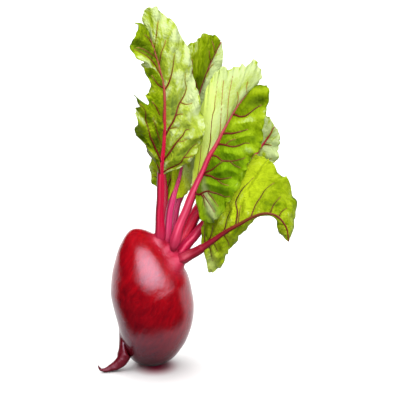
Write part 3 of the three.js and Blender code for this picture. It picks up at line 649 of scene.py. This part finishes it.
leaves["low_right"] = {
    "veins": 8, "bareStalk": 0.16, "radius": 4.2, "phase": 0.8,
    "midrib": ((23, 28.5, 34, 40.5, 47, 53, 60, 68, 75.5, 82, 87, 92, 96.5, 101, 104.5, 106),
               (-8, -8, -9, -11, -14, -16, -19, -21, -23, -24, -25, -25, -26, -26, -26, -26),
               (93, 96, 99, 104, 109.5, 114.5, 120, 125, 130, 133, 134.5, 134, 132.5, 128, 121.5, 111.5)),
    "left": (
        (39.5, 39, 43, 49.5, 59, 68.5, 74.5, 81, 86, 92, 97, 102, 107, 109.5, 112, 111.5, 108),
        (-8, -6, -4, -1, 1, 3, 4, 4, 3, 2, 1, 0, -2, -4, -9, -14, -20),
        (109.5, 119, 130, 140, 150.5, 161.5, 170, 174.5, 172.5, 170.5, 165, 158, 155, 145.5, 134.5, 125.5,
         117)),
    "right": (
        (41.5, 43, 45, 50, 54, 57.5, 60.5, 66, 68, 73, 77.5, 81, 86.5, 92, 96.5, 97.5, 101.5),
        (-10, -8, -7, -8, -9, -10, -12, -14, -16, -17, -20, -22, -24, -25, -24, -22, -22),
        (98, 89.5, 81.5, 84.5, 88.5, 95.5, 103.5, 109, 115.5, 119, 127, 131, 132.5, 132.5, 129.5, 121,
         115.5)),
    "lines": (
        (0, 0.5, (83, 77, 82, 60), (0, 20, 53, 97)),
        (0, 0.6, (113, 163, 173), (0, 12, 31)),
        (0, 0.7, (273, 295, 308, 323), (0, 4, 19, 28)),
        (0, 0.6, (386, 381, 351, 354, 364, 378, 393), (0, 19, 36, 46, 56, 63, 73)),
        (0, 0.55, (493, 496, 496, 501, 498, 504, 514), (0, 6, 27, 43, 58, 71, 81)),
        (0, 0.45, (604, 604, 596, 594, 594), (0, 7, 26, 47, 64)),
        (0, 0.4, (656, 649, 649, 651), (0, 17, 35, 53)),
        (0, 0.35, (403, 396, 389), (0, 18, 30)),
        (1, 0.5, (151, 180, 198), (0, 15, 47)),
        (1, 0.5, (106, 135, 136), (0, 26, 66)),
        (1, 0.4, (275, 290, 286), (0, 44, 81)),
    ),
    "tones": (0.50, 0.46), "relief": (0.75, 0.9), "paintedBands": (0.1, 0.1),
    "patches": ((0, 1.6, 0.3, 0.8, 0.4, -0.08), (0, 3.2, 0.5, 0.9, 0.4, 0.12),
                (0, 5.8, 0.6, 0.9, 0.4, -0.08)),
    "pale": ((1, 1.2, 0.7, 0.5, 0.4, 0.5),),
    "lit": ((0, 3.6, 0.6, 1.3, 0.6, 0.6), (1, 1.5, 0.5, 2, 0.9, 0.15)),
    "stalk": (0.16, 0.003, 0.012), "edge": (0.09, 0.002, 0.006), "tip": (0.085, 0.028, 0.006),
    "taper": 0.38, "gleam": 0.04, "veinTones": ((0.055, 0.008, 0.002), (0.032, 0.024, 0.002)),
    "stout": 1.05,
}
leaves["centre"] = {
    "veins": 4, "bareStalk": 0.3, "radius": 2.5, "phase": 0.5,
    "midrib": ((13.5, 15.5, 18, 21, 24.5, 28.5, 33, 39, 45.5, 52.5),
               (5.5, 9, 13, 16, 19, 22, 26, 29, 31, 32),
               (105, 118.5, 131.5, 138.5, 147.5, 160.5, 176, 194.5, 212.5, 229.5)),
    "left": ((18, 17, 19.5, 26, 34),
             (18, 21, 25, 28, 30),
             (143.5, 157.5, 176.5, 197.5, 217.5)),
    "right": ((28.5, 38, 45.5, 51, 55),
              (17, 19, 23, 27, 30),
              (146.5, 159.5, 178.5, 199, 216.5)),
    "tones": (0.62, 0.6), "lit": ((0, 1.5, 0.5, 2, 0.9, 0.6), (1, 1.5, 0.5, 2, 0.9, 0.6)),
    "stalk": (0.36, 0.015, 0.08), "edge": (0.22, 0.01, 0.04), "tip": (0.2, 0.03, 0.02),
    "gleam": 0.1, "stout": 1.25,
}
leaves["young"] = {
    "veins": 4, "bareStalk": 0.5, "radius": 3, "ruffle": 1.4, "phase": 0.7,
    "midrib": ((20, 23.5, 27.5, 32.5, 37.5, 46, 54, 60.5),
               (5, 6, 7, 8, 9, 11, 12, 10),
               (99, 106.5, 114.5, 124.5, 132.5, 149.5, 167.5, 184.5)),
    "left": ((37.5, 41.5, 43.5, 50),
             (8, 9, 9, 9),
             (142, 155, 170, 182)),
    "right": ((46, 57.5, 64.5, 67),
              (9, 8, 7, 8),
              (141, 147, 162, 175.5)),
    "tones": (0.55, 0.5),
    "stalk": (0.48, 0.003, 0.03), "edge": (0.2, 0.001, 0.008), "tip": (0.2, 0.02, 0.01),
    "stout": 1.8,
}
leaves["back_left"] = {
    "veins": 3, "bareStalk": 0.28, "radius": 2, "ruffle": 1.2, "phase": 0.3,
    "midrib": ((8.5, 9, 9, 9, 8, 8, 8.5, 11),
               (4.5, 9, 12, 14, 17, 19, 20, 19),
               (107, 120, 132, 144, 155.5, 172, 188, 207)),
    "left": ((5, 1.5, -2.5, -4, -2.5, -0.5, 2.5),
             (12, 14, 15, 16, 17, 18, 19),
             (138.5, 147, 149.5, 159, 169.5, 184.5, 199)),
    "right": ((12.5, 14.5, 18, 20.5, 20.5, 18),
              (11, 13, 15, 16, 17, 18),
              (137, 144, 153.5, 166.5, 180.5, 195)),
    "tones": (0.5, 0.5),
    "stalk": (0.30, 0.004, 0.022), "edge": (0.07, 0.001, 0.005), "tip": (0.14, 0.03, 0.01),
    "darkSide": -1, "stout": 1.5,
}


class Leaf:
    def __init__(self, name, seed):
        self.name = name
        self.seed = seed
        self.own = {**usualLeaf, **leaves[name]}
        self.path = np.array(self.own["midrib"], float).T
        self.bare = self.own["bareStalk"]
        self.veins = self.own["veins"]
        edges = [np.array(self.own[side], float).T for side in ("left", "right")]
        self.margins = [np.vstack([edge, self.path[-1:]]) for edge in edges]
        self.times = np.linspace(0, 1, 201)
        steps = np.linalg.norm(np.diff(spline(self.path, self.times), axis=0), axis=1)
        self.lengths = np.append(0, np.cumsum(steps))
        lines = [(side, radius, np.array(rows).T / 100) for side, radius, *rows in self.own["lines"]]
        self.lines = lines or self.plainLines()

    def plainLines(self):  # side veins with a branch each, where none are given
        lines = []
        for vein in range(1, self.veins):
            main = ((vein - 0.4, 0), (vein - 0.1, 0.3), (vein + 0.1, 0.65), (vein + 0.12, 0.92))
            branch = ((vein - 0.1, 0.3), (vein + 0.2, 0.5), (vein + 0.35, 0.75))
            for side in (0, 1):
                lines += [(side, 0.5, main), (side, 0.3, branch)]
        return lines

    def time(self, share):  # the curve's own parameter at a share of its length
        return np.interp(np.asarray(share) * self.lengths[-1], self.lengths, self.times)

    def centre(self, share):
        return spline(self.path, self.time(share))

    def along(self, share):
        t = self.time(share)
        return unit(spline(self.path, np.minimum(t + 1e-4, 1)) - spline(self.path, np.maximum(t - 1e-4, 0)))

    def share(self, vein):
        return self.bare + (1 - self.bare) * (vein / self.veins) ** blade["crowding"]

    def ribRadius(self, share):
        radius = self.own["radius"] * self.own["stout"]
        t = np.clip((share - self.bare) / (1 - self.bare), 0, 1) ** self.own["taper"]
        midrib = radius * rib["midrib"] * (1 - t) + rib["tip"] * t
        stalk = radius * (rib["crown"] + (rib["midrib"] - rib["crown"]) * share / self.bare)
        return np.where(share < self.bare, stalk, midrib)

    def bays(self, vein):  # 1 in the middle of each small bay of the margin, 0 on the lobes beside it
        wander = 0.35 * np.sin(2.7 * vein + self.seed)
        return (1 - np.abs(np.sin(np.pi * (blade["baysPerVein"] * vein + wander)))) ** 1.5

    def outline(self, side, vein):  # the margin, and a plainer line beside it that the blade swings to
        margin = spline(self.margins[side], vein / self.veins)
        near = [spline(self.margins[side], (vein + shift) / self.veins) for shift in blade["plainShifts"]]
        plain, span = np.mean(near, axis=0), blade["plainShifts"][-1]
        early = (vein[..., None] < span) * (1 - vein[..., None] / span)
        return margin, plain + early * (margin - plain)

    def surface(self, side, vein, u):  # a point on the blade and its facing; side 0 is left, 1 right
        vein, u = np.broadcast_arrays(np.asarray(vein, float), np.asarray(u, float))
        share = self.share(vein)
        along, centre = self.along(share), self.centre(share)
        margin, inner = self.outline(side, vein)
        span = margin - centre
        length = np.linalg.norm(span, axis=-1)
        outward = square(span, along)
        face = np.cross(along, outward) * (1 - 2 * side)
        small = np.minimum(length / blade["fullSpan"], 1)
        fraction, half = np.mod(vein, 1), vein * 0 + side
        coarse, fine = blade["teethPerVein"]
        teeth = noise(vein * coarse, half, self.seed) + 0.5 * noise(vein * fine, half, self.seed + 1)
        teeth = teeth + blade["bays"] * (0.4 - self.bays(vein))
        edge = blade["lobes"] * (np.sin(np.pi * fraction) - 0.5) + blade["scallop"] * teeth
        arch = face * self.own["arch"] - along * blade["sweep"]
        control = (centre + inner) / 2 + arch * length[..., None]
        start = centre + outward * (0.5 * self.ribRadius(share))[..., None]
        v = u[..., None]
        point = start * (1 - v) ** 2 + control * 2 * v * (1 - v) + inner * v * v
        point = point + (margin - inner) * v ** 3 + unit(span) * (edge * small)[..., None] * v ** 5
        arc = blade["arcs"] * np.sin(np.pi * fraction) ** 2 * 4 * u * (1 - u) * 0.5
        wave = self.own["ruffle"] * u ** 3 * np.sin(2 * np.pi * (vein + self.own["phase"] + 0.5 * side))
        waves = np.sin(2 * np.pi * (blade["frillsPerVein"] * vein + self.own["phase"] * 3))
        frill = blade["frill"] * u ** 9 * (waves + noise(vein * 4.1, half, self.seed + 2))
        folds = self.own["folds"][side]
        return point + face * (((arc + wave) * folds + frill) * small)[..., None], face, length, small

    def veinCourses(self):  # each side vein as half, points on the blade, radii and share along it
        courses = []
        for side, radius, line in self.lines:
            t = np.linspace(0, 1, rib["veinSteps"] * len(line))
            vein, u = spline(line, t).T
            vein, u = np.clip(vein, 0, self.veins - 0.05), np.clip(u, 0, 0.98)
            point, face = self.surface(side, vein, u)[:2]
            swell = radius * rib["veinSwell"] - rib["veinTip"]
            radii = rib["veinTip"] + swell * (1 - t) ** rib["veinTaper"]
            courses.append((side, point + face * rib["veinLift"], radii, t))
        return courses

    def veinGaps(self, side, point, courses):
        # distance from the nearest vein's skin and from the nearest large vein, and the slope to that one
        gap, major = np.full((2, *point.shape[:-1]), blade["farGap"])
        slope = np.zeros(point.shape[:-1])
        own = [(course[::2], radii[::2]) for half, course, radii, t in courses if half == side]
        for course, radii in own:
            for spot, radius in zip(course, radii):
                offset = point - spot
                away = np.linalg.norm(offset, axis=-1)
                gap = np.minimum(gap, away + rib["veinGap"] - radius)
                if radii[0] > rib["largeVein"]:
                    slope = np.where(away < major, offset[..., 2] / np.maximum(away, 0.3), slope)
                    major = np.minimum(major, away)
        return gap, major, slope

    def patch(self, kind, side, vein, u):
        total = 0 * u
        for half, v0, u0, spanV, spanU, amount in self.own[kind]:
            if half == side:
                total = total + amount * np.exp(-((vein - v0) / spanV) ** 2 - ((u - u0) / spanU) ** 2)
        return total

    def halfBlade(self, side, courses):  # points, and what the blade's colour goes by
        vein = np.linspace(0, self.veins - 0.03, self.veins * blade["rowsPerVein"])[:, None]
        u = np.linspace(0, 1, blade["columns"])[None, :] ** 0.9
        point, face, length, small = self.surface(side, vein, u)
        vein, u = np.broadcast_arrays(vein, u)
        gap, major, slope = self.veinGaps(side, point, courses)
        x, y = self.share(vein) * self.lengths[-1] + 0.35 * u * length, u * length * (1 - 2 * side)
        x1 = x + blade["stray"] * noise(x / 13, y / 11, self.seed + 11)
        y1 = y + blade["stray"] * noise(x / 11, y / 12, self.seed + 12)
        size, fine = blade["blisterSize"], blade["fineBlisters"]
        field = domes(x1 / size, y1 / size / blade["blisterStretch"], self.seed)
        field = (1 - fine) * field + fine * (0.5 + 0.5 * noise(x1 / 2.6, y1 / 3.4, self.seed + 9))
        relief = self.own["relief"][side]
        inner = smoothStep(u, 0.02, 0.15) * (1 - 0.5 * smoothStep(u, 0.85, 1))
        swelling = blade["swelling"] * smoothStep(gap, 0.3, 6)
        swelling = swelling + blade["blisters"] * (field - 0.6) * smoothStep(gap, 0.2, 2.5)
        point = point + face * (relief * inner * small * swelling)[..., None]
        # painted sheen on the tops of the blisters and painted shade in the creases between them
        tone = blade["paintedBlisterShading"] * relief * (field - 0.6) * smoothStep(gap, 0, 3)
        # each half's tone is partly its own green and partly painted light and shade for how that half faces
        # the lights
        tone = self.own["tones"][side] + tone + blade["toneDrift"] * noise(x / 14, y / 11, self.seed + 3)
        # patches: partly the leaf's own darker and paler places, partly painted shade in folds and painted
        # sheen on bulges
        tone = tone + self.patch("patches", side, vein, u)
        # painted light and shade of the folds: lighter on one side of each large vein and darker on the
        # other, by the slope to it
        band = bell((major - blade["bandAway"]) / blade["bandWidth"]) * self.own["paintedBands"][side]
        tone = tone - band * smoothStep(u, 0.05, 0.3) * slope
        tone = tone + blade["paleMargin"] * smoothStep(u, 0.8, 0.97)
        tone = tone - blade["darkBays"] * self.bays(vein) ** 2 * smoothStep(u, 0.86, 0.96)
        hues = [self.patch(kind, side, vein, u) for kind in ("pale", "green", "lit")]
        flat = np.stack([x, y + 200 * side, 0 * x + relief], -1)
        return point, np.stack([gap, u, tone], -1), flat, np.stack(hues, -1)

    def buildBlade(self, material):
        courses = self.veinCourses()
        halves = [self.halfBlade(side, courses) for side in (0, 1)]
        rows, columns = halves[0][0].shape[:2]
        faces = gridFaces(rows, columns, 0, False)
        faces += [q[::-1] for q in gridFaces(rows, columns, rows * columns, False)]
        points, *facts = (np.concatenate([half.reshape(-1, 3) for half in pair]) for pair in zip(*halves))
        piece = makePiece("leaf_blade_" + self.name, points, faces, [material],
                          "blade_" + self.name, dict(zip(("bladeFacts", "bladeFlat", "bladeHues"), facts)))
        solid = piece.modifiers.new("thickness", "SOLIDIFY")
        solid.thickness = blade["thickness"] * mm
        solid.offset = 0

    def stalkTube(self):
        share = np.linspace(0, 0.995, rib["steps"])
        reach = np.array([rib["socket"], rib["socket"] / 2])[:, None]
        centre = np.vstack([self.centre(0) - self.along(0) * reach, self.centre(share)])
        share = np.append((0, 0), share)
        along = self.along(share)
        face = square(np.array([0.0, -1, 0]), along)
        right = np.cross(along, face)
        distance = (share * self.lengths[-1])[:, None]
        foot = 1 + rib["footSwell"] * bell(distance / rib["swellReach"])
        foot = foot + rib["footFlare"] * np.exp(-distance / rib["flareReach"])
        radius = self.ribRadius(share)[:, None] * foot
        radius[:2] *= rib["socketTaper"]
        turn = np.linspace(0, 2 * np.pi, rib["sides"], endpoint=False)[None, :]
        depth = rib["groove"] * smoothStep(share, 0.0, self.bare * 0.6)[:, None]
        fade = smoothStep(radius, 1.0, 2.2)
        waves = np.cos(5 * turn + self.seed) + 0.4 * np.cos(9 * turn + 0.02 * distance)
        flutes = 1 + fade * rib["flutes"] * waves
        across = radius * flutes * np.cos(turn)
        upward = radius * flutes * np.sin(turn) - radius * depth * np.maximum(np.sin(turn), 0) ** 6
        grid = centre[:, None] + right[:, None] * across[..., None] + face[:, None] * upward[..., None]
        facts = np.stack(np.broadcast_arrays(share[:, None], np.cos(turn), np.sin(turn)), -1)
        return grid, facts

    def veinTube(self, path, radii, t):  # a slim round tube along the path
        along = unit(np.gradient(path, axis=0))
        side = square(np.array([0.3, -1, 0.2]), along)
        turn = np.linspace(0, 2 * np.pi, rib["veinSides"], endpoint=False)[None, :, None]
        ring = side[:, None] * np.cos(turn) + np.cross(along, side)[:, None] * np.sin(turn)
        grid = path[:, None] + ring * radii[:, None, None]
        facts = np.broadcast_to(np.stack([t, radii, 0 * t], -1)[:, None], grid.shape)
        return grid, facts

    def buildStalk(self, stalk, vein):
        tubes = [self.stalkTube()]
        tubes += [self.veinTube(path, radii, t) for side, path, radii, t in self.veinCourses()]
        points, faces, facts, plain = [], [], [], 0
        start = 0
        for grid, fact in tubes:
            rows, columns = grid.shape[:2]
            faces += gridFaces(rows, columns, start, True)
            faces.append(list(range(start, start + columns))[::-1])
            faces.append(list(range(start + (rows - 1) * columns, start + rows * columns)))
            plain = plain or len(faces)
            points.append(grid.reshape(-1, 3))
            facts.append(fact.reshape(-1, 3))
            start += rows * columns
        makePiece("leaf_stalk_" + self.name, np.vstack(points), faces, [stalk, vein],
                  "stalk_" + self.name, {"stalkFacts": np.vstack(facts)}, plain)


def stalkMaterial(name, looks, bare, length):
    material, wire = newMaterial("stalk_" + name)
    facts = wire.facts("stalkFacts")
    share, right, front = facts.part(0), facts.part(1), facts.part(2)
    lengthwise = wire.node("CombineXYZ", {}, {0: right, 1: front, 2: share * (length * 0.012)})
    fibres = wire.grain(lengthwise, 3.2, 4, 0.6)
    threads = wire.grain(lengthwise.stretch(3, 3, 1), 3.6, 3)
    across = right + threads * 0.3
    # painted highlight: a pale streak down the front of the stalk, fading up the midrib
    highlightStreak = across.step(-0.42, -0.12) * across.step(0.26, 0.0) * front.step(0, 0.5)
    # painted shade down one side of the stalk and midrib, broken up by the fibres
    edge = right * looks["darkSide"] + fibres * 0.5 + share.step(bare, bare + 0.3) * 0.4
    base = wire.mix(fibres.step(0.50, 0.72) * looks["gleam"], looks["stalk"], rib["gleam"])
    base = wire.coats(
        base,
        (threads.step(0.52, 0.66) * 0.45, looks["edge"]),
        (highlightStreak * share.step(bare + 0.25, bare) * looks["gleam"], rib["highlightStreak"]),
        (share.step(bare + 0.1, bare + 0.45) * 0.9, looks["tip"]),
        # painted shade on the darker side of the stalk
        (edge.step(0.6, 0.95) * 0.9, looks["edge"]),
        (share.step(0.09, 0.0) * root["pinkFeet"].get(name, 0), root["foot"]))
    normal = wire.bump(fibres * 0.7 + threads * 0.3, 0.0005, 0.4)
    wire.close(wire.skin(base, 0.28 + fibres * 0.14, 0.18, normal))
    return material


def veinMaterial(name, colours):
    material, wire = newMaterial("veins_" + name)
    facts = wire.facts("stalkFacts")
    along, radius = facts.part(0), facts.part(1)
    tone = wire.grain(wire.place(), 220, 3)
    base = wire.mix((along + tone * 0.5).step(0.4, 1.2), *colours)
    base = wire.coats(
        base,
        (tone.step(0.55, 0.7) * 0.3, rib["veinFleck"]),
        (radius.step(0.40, 0.27) * 0.6, rib["thinVein"]))
    wire.close(wire.skin(base, 0.4 + tone * 0.1, 0.15, wire.bump(tone, 0.0002, 0.3)))
    return material


def bladeMaterial():
    material, wire = newMaterial("leaf_green")
    place = wire.place()
    facts, flat, hues = (wire.facts(name) for name in ("bladeFacts", "bladeFlat", "bladeHues"))
    gap, u, relief = facts.part(0), facts.part(1), flat.part(2)
    pale, green, lit = (hues.part(k) for k in range(3))
    sheet = flat.stretch(1, 1, 0)
    speckle = wire.grain(place, 130, 2, 0.5) * 0.35 + wire.grain(place, 520, 3) * 0.25 - 0.3
    net = wire.node("TexVoronoi", {"feature": "DISTANCE_TO_EDGE"}, {"Vector": sheet, "Scale": 0.33})
    teeth = u.step(0.92, 0.98) * wire.grain(sheet, 0.34, 2).step(0.50, 0.60)
    tone = facts.part(2) + speckle * (relief * 0.85 + 0.15)
    tone = tone + net.step(0.10, 0.0) * 0.07 - gap.step(1.8, 0.6) * 0.12 - teeth * 0.3
    base = wire.ramp(tone, blade["greens"])
    base = wire.coats(
        base,
        (green, wire.mix(1.0, base, blade["greener"], "MULTIPLY")),
        (pale * (0.7 + tone * 0.4), blade["underside"]),
        # painted light where a blade lies in the shade of another leaf
        (lit * (0.6 + tone * 0.4), blade["lit"]),
        (gap.step(1.3, 0.3) * u.step(1.1, 0.3) * 0.5, blade["stain"]))
    fine = (net.step(0.0, 0.3) * 0.6 + wire.grain(place, 260, 3) * 0.9) * (relief + 0.2)
    normal = wire.bump(fine + wire.grain(place, 900, 2) * 0.3, 0.0011, 0.6)
    shader = wire.skin(base, blade["roughness"] + tone * 0.1, 0.22, normal, blade["sheen"])
    through = wire.node("BsdfTranslucent", {}, {"Color": (*blade["through"], 1)})
    wire.close(wire.node("MixShader", {}, {0: tone * 0.2 + 0.2, 1: shader, 2: through}))
    return material


studio = {
    "elevation": 14,
    "distance": 889,
    "target": (36.5, 0, 139.0),
    "lens": 100,
    "sensor": 36,
    "sight": 100,  # metres
    "floor": 30,  # metres
    "floorTone": 1.0,
    "castAhead": 0.008,  # how far in front of the contact the painted shadow, with the skin's red bounce, is centred, in metres
    "cast": (48, 44),  # one over the painted shadow's reach across and in depth, in metres
    "paintedShadowTone": (0.48, 0.04, 0.10),
    "floorGloss": 0.85,  # the floor's tone in the gloss
    "darkFloor": (0.01, 0.01, 0.01),  # and beyond its reach in front, painted dark in the gloss though it is lit
    "floorReach": 0.064,  # how far in front the floor shows in the gloss of the skin, in metres
    "floorTurn": 0.17,  # how much further behind it begins 0.6 metres to the left
    "bounce": 0.45,  # the floor's tone as the root and leaves are lit by it
    "fill": 0.40,
    "sides": 1.75,
    "frontGloss": 0.012,
    "lightReach": 1.1,  # metres
    "lightAim": (0.02, 0, 0.09),  # metres
    "overhead": {"from": (203, 66), "spread": 100, "power": 4.2},
    "key": {"from": (30, 36), "size": (1.7, 1.05), "power": 21},
    "panel": {"from": (20, 33), "size": (0.66, 0.46), "power": 9},  # seen only in the gloss
    "front": {"from": (-8, 54), "size": (1.3, 1.1), "power": 22},
}


def floorMaterial():
    material, wire = newMaterial("studio_floor")
    place = wire.place()
    x, y = place.part(0), place.part(1)
    bay = abs(x).step(0.13, 0.02) * studio["floorReach"]
    turned = x.step(0, -0.6) * studio["floorTurn"]
    # painted reflection: in the gloss the floor is bright only just in front of the bulb and dark beyond
    dark = (y + bay - turned).step(0.010, -0.012)
    # painted shadow with a painted red bounce: the floor darkens and reddens round where the bulb stands
    ahead = wire.vector("ADD", place, (0, studio["castAhead"], 0))
    near = wire.vector("LENGTH", ahead.stretch(*studio["cast"], 0), output=1)
    isGloss = wire.ray(3)
    base = wire.mix(near.step(1.05, 0.1), (studio["floorTone"],) * 3, studio["paintedShadowTone"])
    base = wire.coats(
        base,
        (isGloss, (studio["floorGloss"],) * 3),
        (dark * isGloss, studio["darkFloor"]),
        (wire.ray(2), (studio["bounce"],) * 3))
    inputs = {"Base Color": base, "Roughness": 0.9, "Specular IOR Level": 0.0}
    wire.close(wire.node("BsdfPrincipled", {}, inputs))
    return material


def toward(turn, rise):  # the way to a place this many degrees to the right and up, seen from the root
    turn, rise = math.radians(turn), math.radians(rise)
    return np.array([math.sin(turn) * math.cos(rise), -math.cos(turn) * math.cos(rise), math.sin(rise)])


def aimLight(name, kind, turn, rise, power):
    lamp = bpy.data.objects.new(name, bpy.data.lights.new(name, kind))
    lamp.data.energy = power
    lamp.location = toward(turn, rise) * studio["lightReach"] + np.array(studio["lightAim"])
    lamp.rotation_euler = (math.pi / 2 - math.radians(rise), 0, math.radians(turn))
    bpy.context.scene.collection.objects.link(lamp)
    return lamp


def buildCamera(scene):
    tilt = math.radians(studio["elevation"])
    camera = bpy.data.objects.new("camera", bpy.data.cameras.new("camera"))
    camera.data.lens = studio["lens"]
    camera.data.sensor_width = studio["sensor"]
    camera.data.clip_end = studio["sight"]
    target = np.array(studio["target"]) * mm
    camera.location = target + studio["distance"] * mm * np.array([0, -math.cos(tilt), math.sin(tilt)])
    camera.rotation_euler = (math.pi / 2 - tilt, 0, 0)
    scene.collection.objects.link(camera)
    scene.camera = camera
    scene.view_settings.view_transform = "Standard"


def buildFloor(scene):
    half = studio["floor"] / 2
    mesh = bpy.data.meshes.new("floor")
    corners = [(-half, -half, 0), (half, -half, 0), (half, half, 0), (-half, half, 0)]
    mesh.from_pydata(corners, [], [(0, 1, 2, 3)])
    mesh.materials.append(floorMaterial())
    floor = bpy.data.objects.new("floor", mesh)
    scene.collection.objects.link(floor)
    return floor


def buildLights(floor):
    sky = aimLight("overhead", "SUN", *studio["overhead"]["from"], studio["overhead"]["power"])
    sky.data.angle = math.radians(studio["overhead"]["spread"])
    sky.visible_glossy = False
    spared = bpy.data.collections.new("spared")  # the softboxes leave the floor to the other lights
    spared.objects.link(floor)
    spared.collection_objects[0].light_linking.link_state = "EXCLUDE"
    for name in ("key", "front"):
        box = aimLight(name, "AREA", *studio[name]["from"], studio[name]["power"])
        box.data.shape = "RECTANGLE"
        box.data.size, box.data.size_y = studio[name]["size"]
        box.visible_glossy = False
        box.light_linking.receiver_collection = spared


def buildWorld(scene):  # plain white, a soft fill, and in the gloss side panels and a round soft panel
    world = bpy.data.worlds.new("studio")
    world.use_nodes = True
    world.node_tree.nodes.clear()
    wire = Wire(world.node_tree)
    direction = wire.node("TexCoord", {}, {}, 0)
    x, y, z = (direction.part(k) for k in range(3))
    right = x.step(-0.1, 0.1)
    panels = y.step(0.79, 0.84) * 0.85 * (1 - right) + y.step(0.38, 0.86) * 1.4 * right
    panels = panels * z.step(0.35, 0.1) * studio["sides"]
    turn, rise = studio["panel"]["from"]
    width, height = studio["panel"]["size"]
    aside, above = direction.dot(toward(turn + 90, 0)), direction.dot(toward(turn, rise + 90))
    oval = (abs(aside) * (1 / width)) ** 2 + (abs(above) * (1 / height)) ** 2
    facing = direction.dot(toward(turn, rise)).step(0, 0.1)
    gloss = studio["frontGloss"] + panels + oval.step(1.7, 0.0) * facing * studio["panel"]["power"]
    isSeen, isGloss = wire.ray(0), wire.ray(3)
    strength = isSeen + (1 - isSeen) * (gloss * isGloss + (1 - isGloss) * studio["fill"])
    wire.close(wire.node("Background", {}, {"Color": (1, 1, 1, 1), "Strength": strength}), "World")
    scene.world = world


buildCamera(bpy.context.scene)
buildLights(buildFloor(bpy.context.scene))
buildWorld(bpy.context.scene)
print("studio built")

buildRoot(skinMaterial())
print("root built")

green = bladeMaterial()
for number, name in enumerate(leaves):
    leaf = Leaf(name, number + 1)
    stalk = stalkMaterial(name, leaf.own, leaf.bare, leaf.lengths[-1])
    leaf.buildStalk(stalk, veinMaterial(name, leaf.own["veinTones"]))
    leaf.buildBlade(green)
    print("leaf built:", name)
